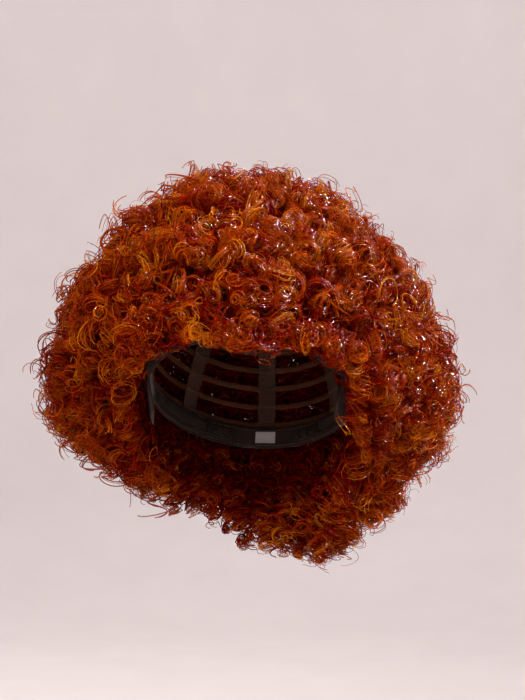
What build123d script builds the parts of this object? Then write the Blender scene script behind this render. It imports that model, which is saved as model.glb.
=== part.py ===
from build123d import *

import os
from math import cos, degrees, radians, sin, sqrt

# A curly costume wig at its worn shape: a ring-wefted elastic cap with ear tabs and
# a two-strap size adjuster, covered by a thick round mass of short curls.
# Frame: millimetres, +Z up, the wearer faces -Y and the wearer's left is +X.
# The origin is the point inside the cap that sits on top of the head.

# ---------------------------------------------------------------- the head it fits
HEAD_HALF_WIDTH = 75.0
HEAD_HALF_DEPTH = 95.0
HEAD_HALF_HEIGHT = 105.0
NECK_HALF_WIDTH = 60.0
NECK_HALF_DEPTH = 52.0

# ---------------------------------------------------------------- the cap's edge
EDGE_TILT = 26.0  # degrees that the edge drops from the hairline to the nape
EDGE_Z = -121.0  # height of the edge beside the ears
BAND_WIDTH = 18.0
BAND_SEAM_Y = 6.0  # the front band meets the nape band just behind the ear tabs
BAND_SEAM = 0.4

# Layers, each as its inner and outer distance from the head
BAND_LAYER = (0.0, 1.2)
RIBBON_LAYER = (1.4, 2.2)
WEFT_LAYER = (2.4, 3.8)
HAIR_START = 4.5

# ---------------------------------------------------------------- cap pieces
# Heights are above the cap's edge and square to it.
CROWN_NET_FROM = 84.0
CROWN_SWIRL_FROM = 106.0
WEFT_HEIGHT = 4.0
WEFT_ROWS = (5.0, 19.0, 33.0, 47.0, 60.0, 72.0, 82.0, 91.0, 99.0)
RING_STEPS = 3  # bends in the height of a band that goes round the head
RIBBON_WIDTH = 14.0
RIBBON_FROM = 6.0
RIBBON_TO = 92.0
RIBBON_TURNS = {  # degrees from the centre front towards the wearer's left
    "ribbon_front": 0,
    "ribbon_front_left": 42,
    "ribbon_side_left": 88,
    "ribbon_back_left": 136,
    "ribbon_back": 180,
    "ribbon_back_right": 224,
    "ribbon_side_right": 272,
    "ribbon_front_right": 318,
}
TAB_MIDDLE = -26.0  # along the edge, from beside the head's axis
TAB_WIDTH = 32.0
TAB_DROP = 28.0
TAB_CORNER = 12.0
TAB_SEAM = 1.2  # clear space that lets the tab fold inward
STAY_LAYER = (1.4, 2.2)
STAY_WIDTH = 5.0
STAY_LENGTH = 22.0

# ---------------------------------------------------------------- size adjuster
# Its layers lie inside the nape band, so their distances from the head are negative.
ADJUSTER_HEIGHT = 9.0
ADJUSTER_TURN = 26.5  # degrees from the centre back to the middle loop
LOOP_COUNT = 5
LOOP_PITCH = 8.0
LOOP_LAYER = (-2.9, -2.2)
LOOP_WIDTH = 2.0
LOOP_LENGTH = 8.0
LOOP_SPAN = 5.0  # clear length under a loop
TAPE_LAYER = (-1.0, -0.5)
TAPE_WIDTH = 10.0
TAPE_OVERHANG = 4.0
HOOK_LAYER = (-4.1, -3.2)
PLATE_WIDTH = 10.0
PLATE_LENGTH = 6.0
PLATE_CORNER = 1.2
NECK_LENGTH = 2.4  # from the loop to the hook's plate
TIP_REACH = 2.6  # from the middle of the loop to the hook's tip
TIP_WALL = 1.0
TONGUE_LAYER = (-1.9, -1.3)
TONGUE_WIDTH = 3.6
TONGUE_RETURN = 3.0  # how far the tongue turns back past the middle of the loop
SLOT_WIDTH = 1.8
SLOT_LENGTH = 7.6
STRAP_LAYER = (-4.0, -3.3)
STRAP_WIDTH = 8.0
STRAP_TURNS = (33.2, 76.0)  # degrees from the centre back, from the hook to the sewn end
SEWN_END_TURN = 5.0
LABEL_WIDTH = 16.0
LABEL_HEIGHT = 10.0
LABEL_THICKNESS = 0.4
LABEL_CLEARANCE = 1.0

# ---------------------------------------------------------------- the hair's outline
# Each level: height, half width, furthest forward, furthest back.
HAIR_LEVELS = (
    (46.0, 20.0, -24.0, 28.0),
    (38.0, 52.0, -52.0, 60.0),
    (20.0, 82.0, -82.0, 95.0),
    (-5.0, 111.0, -108.0, 126.0),
    (-40.0, 135.0, -128.0, 149.0),
    (-80.0, 149.0, -134.0, 162.0),
    (-110.0, 154.0, -112.0, 166.0),
    (-135.0, 154.0, -84.0, 164.0),
    (-155.0, 142.0, -56.0, 159.0),
    (-180.0, 117.0, -24.0, 151.0),
    (-205.0, 97.0, 2.0, 142.0),
    (-230.0, 75.0, 26.0, 129.0),
    (-250.0, 52.0, 46.0, 112.0),
)
FRINGE_Z = -80.0  # lower edge of the fringe
FACE_HALF_WIDTH = 78.0
FACE_BACK_Y = -12.0  # the face opening is cut back to here
TEMPLE_CORNER = 40.0  # the fringe drops to the cheeks in this radius
HAIR_GAP = 0.5  # clear space between neighbouring hair pieces
FAR = 400.0  # past everything

# Hair pieces, by where the hair is parted into areas of the wefts
CROWN_Z = -20.0
CHEEK_Z = -150.0
FRINGE_PART_X = 30.0
FRONT_PART_Y = -48.0
BACK_PART_Y = 48.0
NAPE_PART_X = 64.0
HAIR_PAIRS = {  # x, y and z ranges on the wearer's left
    "hair_crown_front": ((0, FAR), (-FAR, 0), (CROWN_Z, FAR)),
    "hair_crown_back": ((0, FAR), (0, FAR), (CROWN_Z, FAR)),
    "hair_fringe": ((FRINGE_PART_X, FAR), (-FAR, FRONT_PART_Y), (FRINGE_Z, CROWN_Z)),
    "hair_temple": ((0, FAR), (FRONT_PART_Y, BACK_PART_Y), (FRINGE_Z, CROWN_Z)),
    "hair_back_upper": ((0, FAR), (BACK_PART_Y, FAR), (FRINGE_Z, CROWN_Z)),
    "hair_side_front": ((0, FAR), (-FAR, 0), (CHEEK_Z, FRINGE_Z)),
    "hair_side_back": ((0, FAR), (0, NAPE_PART_X), (CHEEK_Z, FRINGE_Z)),
    "hair_back_lower": ((0, FAR), (NAPE_PART_X, FAR), (CHEEK_Z, FRINGE_Z)),
    "hair_hem": ((NAPE_PART_X, FAR), (-FAR, FAR), (-FAR, CHEEK_Z)),
    "hair_nape": ((0, NAPE_PART_X), (0, FAR), (-FAR, CHEEK_Z)),
}
FRINGE_CENTRE = ((-FRINGE_PART_X, FRINGE_PART_X), (-FAR, FRONT_PART_Y), (FRINGE_Z, CROWN_Z))

ACROSS = Vector(1, 0, 0)
TILT = radians(EDGE_TILT)
ALONG = Vector(0, cos(TILT), -sin(TILT))  # along the cap's edge, towards the nape
SQUARE = Vector(0, sin(TILT), cos(TILT))  # square to the edge, towards the crown
CENTRE = Vector(0, 0, -HEAD_HALF_HEIGHT)
EDGE_POINT = Vector(0, 0, EDGE_Z)
edge_plane = Plane(origin=EDGE_POINT, x_dir=ACROSS, z_dir=SQUARE)
side_plane = Plane(origin=EDGE_POINT, x_dir=ALONG, z_dir=ACROSS)

os.makedirs("parts", exist_ok=True)


def keep(piece, name):
    """Labels a finished piece and writes it as its own node."""
    piece.part.label = name
    export_step(piece.part, f"parts/{name}.step")


def keep_pair(left, name):
    """Keeps a piece on the wearer's left and its mirror image on the right."""
    keep(left, f"{name}_left")
    with BuildPart() as right:
        mirror(left.part, about=Plane.YZ)
    keep(right, f"{name}_right")


def head_shape(distance):
    """The head, grown by a distance on every side."""
    width = HEAD_HALF_WIDTH + distance
    depth = HEAD_HALF_DEPTH + distance
    height = HEAD_HALF_HEIGHT + distance
    with BuildPart() as head:
        Sphere(width)
        scale(by=(1, depth / width, height / width))
    return head.part.moved(Location(CENTRE))


def shell(layer):
    """The head-shaped skin between a layer's inner and outer distance."""
    with BuildPart() as skin:
        add(head_shape(layer[1]))
        add(head_shape(layer[0]), mode=Mode.SUBTRACT)
    return skin.part


def section(distance, height):
    """Where the head, grown by a distance, is cut at a height above the cap's edge.

    Returns the middle of that ellipse and its half axes, across the head and along
    the edge.
    """
    width = HEAD_HALF_WIDTH + distance
    depth = HEAD_HALF_DEPTH + distance
    tall = HEAD_HALF_HEIGHT + distance
    support = sqrt((depth * SQUARE.Y) ** 2 + (tall * SQUARE.Z) ** 2)
    level = (EDGE_POINT - CENTRE).dot(SQUARE) + height
    shrink = sqrt(1 - (level / support) ** 2)
    shift = level / support**2
    middle = CENTRE + Vector(0, depth**2 * SQUARE.Y, tall**2 * SQUARE.Z) * shift
    return middle, width * shrink, depth * tall / support * shrink


def ring(layer, low, high):
    """A closed band of a layer round the head, between two heights above the edge."""
    heights = [low + (high - low) * step / RING_STEPS for step in range(RING_STEPS + 1)]
    with BuildPart() as band:
        for distance, mode in ((layer[1], Mode.ADD), (layer[0], Mode.SUBTRACT)):
            for height in heights:
                middle, across, along = section(distance, height)
                with BuildSketch(edge_plane.offset(height)):
                    with Locations((0, edge_plane.to_local_coords(middle).Y)):
                        Ellipse(across, along)
            loft(mode=mode)
    return band


def nape_plane(turn, distance):
    """A plane that touches the nape at a turn from the centre back, and its radius.

    Its x points away from the head, its y runs round the nape towards the centre
    back, on the wearer's left, and its z runs towards the crown.
    """
    middle, across, back = section(distance, ADJUSTER_HEIGHT)
    angle = radians(turn)
    reach = 1 / sqrt((sin(angle) / across) ** 2 + (cos(angle) / back) ** 2)
    side = reach * sin(angle)
    behind = reach * cos(angle)
    outward = ACROSS * (side / across**2) + ALONG * (behind / back**2)
    radius = across**2 * back**2 * outward.length**3
    point = middle + ACROSS * side + ALONG * behind
    return Plane(origin=point, x_dir=outward, z_dir=SQUARE), radius


def keep_above(height):
    """Keeps what lies above a height over the cap's edge."""
    with Locations(edge_plane.offset(height).location):
        Box(FAR, FAR, FAR, align=(Align.CENTER, Align.CENTER, Align.MIN), mode=Mode.INTERSECT)


def keep_in_y(low, high):
    """Keeps what lies between two distances along Y."""
    with Locations((0, low, EDGE_Z)):
        Box(
            FAR,
            high - low,
            FAR,
            align=(Align.CENTER, Align.MIN, Align.CENTER),
            mode=Mode.INTERSECT,
        )


# ================================================================ cap
band_shell = shell(BAND_LAYER)
ribbon_shell = shell(RIBBON_LAYER)
weft_shell = shell(WEFT_LAYER)

with BuildPart() as crown_net:
    add(band_shell)
    keep_above(CROWN_NET_FROM)
keep(crown_net, "crown_net")

edge_band = ring(BAND_LAYER, 0, BAND_WIDTH).part
with BuildPart() as front_band:
    add(edge_band)
    keep_in_y(-FAR / 2, BAND_SEAM_Y - BAND_SEAM / 2)
keep(front_band, "front_band")

with BuildPart() as nape_band:
    add(edge_band)
    keep_in_y(BAND_SEAM_Y + BAND_SEAM / 2, FAR / 2)
keep(nape_band, "nape_band")

for row, height in enumerate(WEFT_ROWS, start=1):
    weft_track = ring(WEFT_LAYER, height, height + WEFT_HEIGHT)
    keep(weft_track, f"weft_track_{row}")

with BuildPart() as crown_swirl:
    add(weft_shell)
    keep_above(CROWN_SWIRL_FROM)
keep(crown_swirl, "crown_swirl")

for name, turn in RIBBON_TURNS.items():
    facing = edge_plane.offset(RIBBON_FROM).location * Location((0, 0, 0), (0, 0, turn))
    with BuildPart() as ribbon:
        add(ribbon_shell)
        with Locations(facing):
            Box(
                RIBBON_WIDTH,
                FAR,
                RIBBON_TO - RIBBON_FROM,
                align=(Align.CENTER, Align.MAX, Align.MIN),
                mode=Mode.INTERSECT,
            )
    keep(ribbon, name)

# The rounded tab in front of the ear hangs from the cap's edge.
with BuildPart() as ear_tab:
    with BuildSketch(side_plane) as tab_outline:
        with Locations((TAB_MIDDLE, -TAB_SEAM)):
            Rectangle(TAB_WIDTH, TAB_DROP - TAB_SEAM, align=(Align.CENTER, Align.MAX))
        fillet(tab_outline.vertices().group_by(Axis.Y)[0], TAB_CORNER)
    extrude(amount=FAR / 2)
    add(band_shell, mode=Mode.INTERSECT)
keep_pair(ear_tab, "ear_tab")

# A flat spring strip, sewn on the tab's outside, keeps its bend.
with BuildPart() as ear_stay:
    with BuildSketch(side_plane):
        with Locations((TAB_MIDDLE, -(TAB_DROP + TAB_SEAM) / 2)):
            SlotOverall(STAY_LENGTH, STAY_WIDTH, rotation=90)
    extrude(amount=FAR / 2)
    add(shell(STAY_LAYER), mode=Mode.INTERSECT)
keep_pair(ear_stay, "ear_stay")

# ================================================================ size adjuster
# The loops and the hook share one arc, so that the hook fits each loop in turn.
touch_plane, ARC_RADIUS = nape_plane(ADJUSTER_TURN, 0)
arc_plane = Plane(
    origin=touch_plane.origin - touch_plane.x_dir * ARC_RADIUS,
    x_dir=touch_plane.x_dir,
    z_dir=SQUARE,
)


def arc_place(length):
    """A place on the arc, a length from the middle loop towards the centre back."""
    return arc_plane.location * Location((0, 0, 0), (0, 0, degrees(length / ARC_RADIUS)))


def arc_strip(layer, width, start, end):
    """A strip of a layer round the arc, between two lengths from the middle loop."""
    angles = (start / ARC_RADIUS, end / ARC_RADIUS)
    with BuildPart() as strip:
        with BuildSketch(arc_plane.offset(-width / 2)):
            Circle(ARC_RADIUS + layer[1])
            Circle(ARC_RADIUS + layer[0], mode=Mode.SUBTRACT)
            with BuildLine():
                rays = [(FAR * cos(angle), FAR * sin(angle)) for angle in angles]
                Polyline((0, 0), *rays, close=True)
            make_face(mode=Mode.INTERSECT)
        extrude(amount=width)
    return strip.part


# A tape sewn to the nape band carries a row of raised loops.
tape_half = LOOP_PITCH * (LOOP_COUNT - 1) / 2 + TAPE_OVERHANG
tape = arc_strip(TAPE_LAYER, TAPE_WIDTH, -tape_half, tape_half)
loop_steps = [index - (LOOP_COUNT - 1) / 2 for index in range(LOOP_COUNT)]
loop_foot = sum(TAPE_LAYER) / 2
with BuildPart() as hook_loops:
    with Locations(*[arc_place(LOOP_PITCH * step) for step in loop_steps]):
        with Locations((ARC_RADIUS + LOOP_LAYER[0], 0, 0)):
            Box(
                loop_foot - LOOP_LAYER[0],
                LOOP_WIDTH,
                LOOP_LENGTH,
                align=(Align.MIN, Align.CENTER, Align.CENTER),
            )
        with Locations((ARC_RADIUS + LOOP_LAYER[1], 0, 0)):
            Box(
                loop_foot - LOOP_LAYER[1],
                2 * LOOP_WIDTH,
                LOOP_SPAN,
                align=(Align.MIN, Align.CENTER, Align.CENTER),
                mode=Mode.SUBTRACT,
            )
    add(tape)
keep_pair(hook_loops, "hook_loops")

# The flat hook lies over a loop and turns its tongue back under it.
plate_end = -(LOOP_WIDTH / 2 + NECK_LENGTH)
plate_start = plate_end - PLATE_LENGTH
plate = arc_strip(HOOK_LAYER, PLATE_WIDTH, plate_start, plate_end)
neck = arc_strip(HOOK_LAYER, TONGUE_WIDTH, plate_end - TIP_WALL, TIP_REACH)
tip = arc_strip(
    (HOOK_LAYER[0], TONGUE_LAYER[1]), TONGUE_WIDTH, TIP_REACH - TIP_WALL, TIP_REACH
)
tongue = arc_strip(TONGUE_LAYER, TONGUE_WIDTH, -TONGUE_RETURN, TIP_REACH)
with BuildPart() as hook:
    add(plate)
    fillet(hook.edges().group_by(SortBy.LENGTH)[0], PLATE_CORNER)
    add([neck, tip, tongue])
    with Locations(arc_place(plate_start + SLOT_WIDTH)):
        with Locations((ARC_RADIUS + HOOK_LAYER[0], 0, 0)):
            Box(TIP_REACH, SLOT_WIDTH, SLOT_LENGTH, mode=Mode.SUBTRACT)
keep_pair(hook, "hook")


def nape_strip(layer, width, turns):
    """A strip of a layer round the nape, between two turns from the centre back."""
    base = edge_plane.offset(ADJUSTER_HEIGHT - width / 2)
    with BuildPart() as strip:
        with BuildSketch(base):
            for distance, mode in ((layer[1], Mode.ADD), (layer[0], Mode.SUBTRACT)):
                middle, across, back = section(distance, ADJUSTER_HEIGHT)
                with Locations((0, base.to_local_coords(middle).Y)):
                    Ellipse(across, back, mode=mode)
            pole = base.to_local_coords(section(0, ADJUSTER_HEIGHT)[0]).Y
            with BuildLine():
                angles = [radians(turn) for turn in turns]
                rays = [(FAR * sin(angle), pole + FAR * cos(angle)) for angle in angles]
                Polyline((0, pole), *rays, close=True)
            make_face(mode=Mode.INTERSECT)
        extrude(amount=width)
    return strip.part


# The elastic strap runs from the hook to its sewn end behind the ear.
strap_run = nape_strip(STRAP_LAYER, STRAP_WIDTH, STRAP_TURNS)
sewn_end = nape_strip(
    (STRAP_LAYER[0], TAPE_LAYER[1]),
    STRAP_WIDTH,
    (STRAP_TURNS[1] - SEWN_END_TURN, STRAP_TURNS[1]),
)
with BuildPart() as strap:
    add([strap_run, sewn_end])
keep_pair(strap, "strap")

label_plane = nape_plane(0, -LABEL_CLEARANCE)[0]
with BuildPart() as size_label:
    with Locations(label_plane.location):
        Box(
            LABEL_THICKNESS,
            LABEL_WIDTH,
            LABEL_HEIGHT,
            align=(Align.MAX, Align.CENTER, Align.CENTER),
        )
keep(size_label, "size_label")

# ================================================================ hair
with BuildPart() as hair_body:
    for level, half_width, front, back in HAIR_LEVELS:
        with BuildSketch(Plane.XY.offset(level)):
            with Locations((0, (front + back) / 2)):
                Ellipse(half_width, (back - front) / 2)
    loft()
    add(head_shape(HAIR_START), mode=Mode.SUBTRACT)
    # the face opening, below the fringe
    with BuildSketch(Plane.XZ.offset(-FACE_BACK_Y)) as face:
        with Locations((0, FRINGE_Z)):
            Rectangle(2 * FACE_HALF_WIDTH, FAR, align=(Align.CENTER, Align.MAX))
        fillet(face.vertices().group_by(Axis.Y)[-1], TEMPLE_CORNER)
    extrude(amount=FAR, mode=Mode.SUBTRACT)
    # room for the neck
    with BuildSketch(Plane.XY.offset(EDGE_Z)):
        Ellipse(NECK_HALF_WIDTH, NECK_HALF_DEPTH)
    extrude(amount=-FAR, mode=Mode.SUBTRACT)


def hair_piece(ranges):
    """The hair that lies between two distances along each of X, Y and Z."""
    corner = tuple(low + HAIR_GAP / 2 for low, high in ranges)
    size = [high - low - HAIR_GAP for low, high in ranges]
    with BuildPart() as piece:
        add(hair_body.part)
        with Locations(corner):
            Box(*size, align=(Align.MIN, Align.MIN, Align.MIN), mode=Mode.INTERSECT)
    return piece


for name, ranges in HAIR_PAIRS.items():
    keep_pair(hair_piece(ranges), name)
keep(hair_piece(FRINGE_CENTRE), "hair_fringe_centre")
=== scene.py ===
"""A curly auburn costume wig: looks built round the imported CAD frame.

Metres, +Z up. The wearer faces -Y and the wearer's left is +X. The origin is the point
inside the cap that sits on top of the head.
"""

import math

import bmesh
import bpy
import numpy as np
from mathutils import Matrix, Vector


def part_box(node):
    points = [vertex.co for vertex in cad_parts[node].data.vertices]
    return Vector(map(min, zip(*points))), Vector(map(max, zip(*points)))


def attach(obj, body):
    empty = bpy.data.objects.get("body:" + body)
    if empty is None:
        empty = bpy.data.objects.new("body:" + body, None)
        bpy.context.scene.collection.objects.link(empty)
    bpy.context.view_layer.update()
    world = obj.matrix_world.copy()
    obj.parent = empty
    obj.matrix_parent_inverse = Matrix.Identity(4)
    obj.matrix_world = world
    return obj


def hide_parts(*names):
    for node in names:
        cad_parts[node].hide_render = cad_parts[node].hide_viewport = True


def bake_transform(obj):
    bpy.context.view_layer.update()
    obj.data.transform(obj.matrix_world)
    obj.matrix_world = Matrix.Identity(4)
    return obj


MM = 0.001
TURN = 2 * math.pi
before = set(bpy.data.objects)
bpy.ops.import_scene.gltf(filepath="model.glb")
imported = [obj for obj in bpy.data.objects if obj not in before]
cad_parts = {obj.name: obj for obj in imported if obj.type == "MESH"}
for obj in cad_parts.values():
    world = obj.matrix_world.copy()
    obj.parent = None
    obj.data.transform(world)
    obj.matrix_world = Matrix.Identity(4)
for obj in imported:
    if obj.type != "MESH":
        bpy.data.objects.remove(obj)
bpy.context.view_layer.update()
random = np.random.default_rng(31)

# Lengths below are in millimetres where they aren't multiplied by MM.

# ---------------------------------------------------------------- the head and the cap's edge
HEAD = np.array((75.0, 95.0, 105.0)) * MM
CENTRE = np.array((0.0, 0.0, -105.0)) * MM
NECK = np.array((60.0, 52.0)) * MM
EDGE_Z = -121.0 * MM
TILT = math.radians(26.0)
ACROSS = np.array((1.0, 0.0, 0.0))
ALONG = np.array((0.0, math.cos(TILT), -math.sin(TILT)))
SQUARE = np.array((0.0, math.sin(TILT), math.cos(TILT)))
EDGE_POINT = np.array((0.0, 0.0, EDGE_Z))
DOWN = np.array((0.0, 0.0, -1.0))
SIDES = (("left", 1), ("right", -1))

# ---------------------------------------------------------------- the hair's outline
# Each level: height, half width, furthest forward, furthest back, in millimetres.
LEVELS = (
    (46.0, 1.0, -1.0, 3.0),
    (46.0, 20.0, -24.0, 28.0),
    (38.0, 52.0, -52.0, 60.0),
    (20.0, 82.0, -82.0, 95.0),
    (-5.0, 111.0, -108.0, 126.0),
    (-40.0, 135.0, -128.0, 149.0),
    (-80.0, 149.0, -134.0, 162.0),
    (-110.0, 154.0, -112.0, 166.0),
    (-135.0, 154.0, -84.0, 164.0),
    (-155.0, 142.0, -56.0, 159.0),
    (-180.0, 117.0, -24.0, 151.0),
    (-205.0, 97.0, 2.0, 142.0),
    (-230.0, 75.0, 26.0, 129.0),
    (-250.0, 52.0, 46.0, 112.0),
)
FACE_HALF_WIDTH = 78.0 * MM
FACE_BACK_Y = -12.0 * MM
FRINGE_Z = -80.0 * MM
TEMPLE_CORNER = 40.0 * MM

# ---------------------------------------------------------------- the cap
BAND_WIDTH = 18.0 * MM
BAND_SEAM_Y = 6.0
RIB_PITCH = 1.8
RIBBON_TURNS = {
    "ribbon_front": 0,
    "ribbon_front_left": 42,
    "ribbon_side_left": 88,
    "ribbon_back_left": 136,
    "ribbon_back": 180,
    "ribbon_back_right": 224,
    "ribbon_side_right": 272,
    "ribbon_front_right": 318,
}
TAB_MIDDLE = -26.0
TAB_WIDTH = 32.0
TAB_DROP = 28.0
TAB_CORNER = 12.0
ADJUSTER_HEIGHT = 9.0
ADJUSTER_TURN = 26.5
LOOP_PITCH = 8.0
# FACES are the distances of a cloth's two faces from the head.
BAND_FACES = (0.0, 1.2)
BAND_TRIM = 0.15
BAND_AROUND = 620
BAND_TALL = 25
HEM_HEIGHT = 2.6
SEAM_GAP = 0.2
WEFT_FACES = (2.62 * MM, 3.58 * MM)
WEFT_STITCH = 0.95
RIBBON_FACES = (1.55 * MM, 2.05 * MM)
RIBBON_WIDTH = 13.8
RIBBON_SPAN = (6.1, 91.9)
TACK_POINTS = 27
THREAD_RADIUS = 0.2 * MM
NET_THREADS = 112
NET_STARTS = (0.04, 0.45, 0.2, 0.45)  # how near the middle each thread in turn begins
SWIRL_TURNS = 4.6
TAB_FACES = (0.05, 1.15)
TAB_AROUND = 49
TAB_TALL = 45
LOOP_STEPS = (-2, -1, 0, 1, 2)
STRAP_WIDTH = 7.4
STRAP_DISTANCE = -3.65
STRAP_TURNS = (76.0, 34.6)  # from the centre back, in degrees
# Each adjuster loop's course: up the tape, and out from the head at each of those places.
LOOP_UP = (-4.2, -3.7, -3.3, -2.9, -2.3, 0.0, 2.3, 2.9, 3.3, 3.7, 4.2)
LOOP_OUT = (-0.85, -0.95, -1.7, -2.4, -2.55, -2.55, -2.55, -2.4, -1.7, -0.95, -0.85)
# The strap's end on the hook: round the arc, and out from the head.
STRAP_END_ROUND = (-10.0, -9.2, -8.5, -8.0, -7.75, -7.7)
STRAP_END_OUT = (-4.15, -4.5, -4.45, -4.0, -3.5, -3.0)

# ---------------------------------------------------------------- curls
WEFT_ROWS = (5.0, 19.0, 33.0, 47.0, 60.0, 72.0, 82.0, 91.0, 99.0)
LOCK_SPACING = 12.2 * MM
STRAND_POINTS = 30
STRAND_SIDES = 3
MOST_FACES = 92000  # quads in one piece, two triangles each
CAP_PLACE = 0.999  # where the strands' end caps lie on the bake layer
LUMP_COUNT = 7
LUMP_LENGTHS = (42, 80)
LUMP_HEIGHT = 5 * MM
LUMP_SINK = 2 * MM
JITTER = 0.3
# How far each side's curls stand out from the outline, at each depth below the origin.
SIDE_DEPTHS = (-40.0, -10.0, 20.0, 60.0, 100.0, 130.0, 150.0, 175.0, 200.0, 230.0)
SIDE_FULLNESS = (
    (-6.0, -10.0, -12.0, -8.0, -3.0, -4.0, -8.0, 0.0, 12.0, 4.0),
    (-3.0, -6.0, -7.0, -2.0, 1.0, 2.0, 1.0, -2.0, -5.0, 0.0),
)
# How low the hair hangs, from the wearer's right to the left.
LOW_X = (-140.0, -112.0, -90.0, -58.0, -34.0, -12.0, 40.0, 62.0, 100.0, 125.0, 140.0)
LOW_Z = (-165.0, -176.0, -194.0, -203.0, -214.0, -236.0, -246.0, -240.0, -207.0, -203.0, -175.0)
LOWEST_Z = -262 * MM
WIDEST_X = 171 * MM
# Where the inner faces of the side curls, the hair at the neck and the fringe's underside lie.
CURTAIN_Y = (-118, -12)
CURTAIN_Z = (-158, -84)
NECK_HAIR_Z = (-245, -128)
FRINGE_X = (-76, 76)
FRINGE_Y = (-124, -88)
# The range that each lock's own measure is drawn from.
DEPTH_SHARES = (0.75, 1.15)
ROOT_SPREAD = 3 * MM
ELBOW_DEPTHS = (4, 11)
ROLL_SHARES = (0.2, 1.3)
LOCK_SIZES = (0.6, 1.35)
TURN_SHARES = (0.75, 1.25)
SIZE_LOOSENS = 0.45
TIP_OPENINGS = (0.5, 0.8, 1.25)
FRIZZ = (0.4, 1.5)
TONE_LEANS = (2.0, 2.2)
# The same for each strand of a lock.
REACH_SHARES = (0.8, 1.12)
STRAND_TURNS = (0.93, 1.07)
RADIUS_VARIES = 0.12
WOBBLE_TURNS = (1.2, 3.4)
WOBBLE_SIZE = 0.8 * MM
THICKNESS_SHARES = (0.6, 1.35)
TONE_VARIES = 0.16
HANG_SHARES = (0.4, 1.6)
MAY_CROSS = 0.04  # the share of strands that may hang into the face or neck
SHARPEST_BEND = 0.15  # the cosine between two neighbouring steps

# ---------------------------------------------------------------- looks
# A fibre's tone is its place from root to tip, its own tone and soft patches, added up. The place
# from root to tip paints light: the tips are lighter and golden, a painted glow of light shining
# through backlit fibre, and the roots are darker.
TIP_GLOW_SHARE = 0.45
TONE_SHARE = 0.4
PATCH_SHARE = 0.38
PATCH_SCALE = 30
# Ramp stops, darkest first. The last, golden stop is a painted glow of light shining through backlit
# tips.
TONE_PLACES = (0.15, 0.56, 0.83, 1.0)
TONES = (
    (0.072, 0.0001, 0.0001),
    (0.25, 0.0052, 0.0001),
    (0.46, 0.064, 0.0002),
    (0.7, 0.215, 0.003),
)
FIBRE_ROUGHNESS = 0.11
FIBRE_GLOSS = 0.015
WEAVE_PLACES = (0.3, 0.75)
CLOTH_GLOSS = 0.2
BUMP_STRENGTH = 0.4
BUMP_HEIGHT = 0.3 * MM
HAIR_MIDDLE = (0, 0, -0.09)
# Each light's name, place, width, watts, colour and what it points at.
LIGHTS = (
    ("key", (1.0, -0.9, 0.95), 0.3, 19.5, (1.0, 0.9, 0.9), HAIR_MIDDLE),
    ("glints", (1.3, -0.6, 0.9), 0.17, 4400, (1.0, 0.82, 0.92), HAIR_MIDDLE),
    ("fill", (-1.4, -1.5, 0.7), 1.2, 13.5, (1.0, 0.9, 0.82), HAIR_MIDDLE),
    ("back", (-0.9, 1.5, 0.9), 1.2, 12, (1.0, 0.96, 0.93), HAIR_MIDDLE),
    ("wall_light", (0.0, 0.4, 2.0), 1.6, 28, (1.0, 0.98, 0.98), (0, 2.8, 0.1)),
    ("ceiling", (0.0, 0.0, 2.1), 2.0, 9, (1.0, 0.94, 0.88), (0, 0.01, -1.0)),
)
GLOSS_ONLY = ("glints",)
NO_GLOSS = ("fill", "back", "ceiling")
SKY_COLOUR = (0.95, 0.88, 0.88, 1)
SKY_STRENGTH = 0.36
TINY = 1e-12


def unit(v):
    return v / np.maximum(np.linalg.norm(v, axis=-1, keepdims=True), TINY)


def running_length(path):
    """How far along a path each of its points lies."""
    steps = np.linalg.norm(np.diff(path, axis=0), axis=-1)
    return np.concatenate([[0], steps.cumsum()])


# ================================================================ materials
def new_material(name):
    material = bpy.data.materials.new(name)
    material.use_nodes = True
    nodes = material.node_tree.nodes
    return material, nodes, material.node_tree.links, nodes["Principled BSDF"]


def noise(nodes, links, scale, detail):
    """Noise in the piece's own coordinates."""
    texture = nodes.new("ShaderNodeTexNoise")
    texture.inputs["Scale"].default_value = scale
    texture.inputs["Detail"].default_value = detail
    coordinates = nodes.new("ShaderNodeTexCoord")
    links.new(coordinates.outputs["Object"], texture.inputs["Vector"])
    return texture.outputs["Fac"]


def ramp(nodes, stops):
    """A colour ramp through (place, colour) stops."""
    node = nodes.new("ShaderNodeValToRGB")
    elements = node.color_ramp.elements
    while len(elements) < len(stops):
        elements.new(0.5)
    for element, (place, colour) in zip(elements, stops):
        element.position = place
        element.color = (*colour, 1)
    return node


def attribute(nodes, name):
    node = nodes.new("ShaderNodeAttribute")
    node.attribute_name = name
    return node.outputs["Fac"]


def maths(nodes, links, operation, first, second):
    node = nodes.new("ShaderNodeMath")
    node.operation = operation
    node.use_clamp = True
    for socket, value in zip(node.inputs, (first, second)):
        if isinstance(value, (int, float)):
            socket.default_value = value
        else:
            links.new(value, socket)
    return node.outputs[0]


def curl_material(name, gloss):
    """Synthetic fibre: each strand has its own tone, and its root is darker than its tip; the tip's
    lighter, golden colour is a painted glow of backlit fibre.
    """
    material, nodes, links, shader = new_material(name)
    patches = noise(nodes, links, PATCH_SCALE, detail=3)
    along = maths(nodes, links, "MULTIPLY", attribute(nodes, "strand_along"), TIP_GLOW_SHARE)
    tone = maths(nodes, links, "MULTIPLY", attribute(nodes, "strand_tone"), TONE_SHARE)
    cloud = maths(nodes, links, "MULTIPLY", patches, PATCH_SHARE)
    level = maths(nodes, links, "ADD", maths(nodes, links, "ADD", along, tone), cloud)
    colours = ramp(nodes, tuple(zip(TONE_PLACES, TONES)))
    links.new(level, colours.inputs["Fac"])
    links.new(colours.outputs["Color"], shader.inputs["Base Color"])
    shader.inputs["Roughness"].default_value = FIBRE_ROUGHNESS
    shader.inputs["Specular IOR Level"].default_value = gloss
    return material


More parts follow.
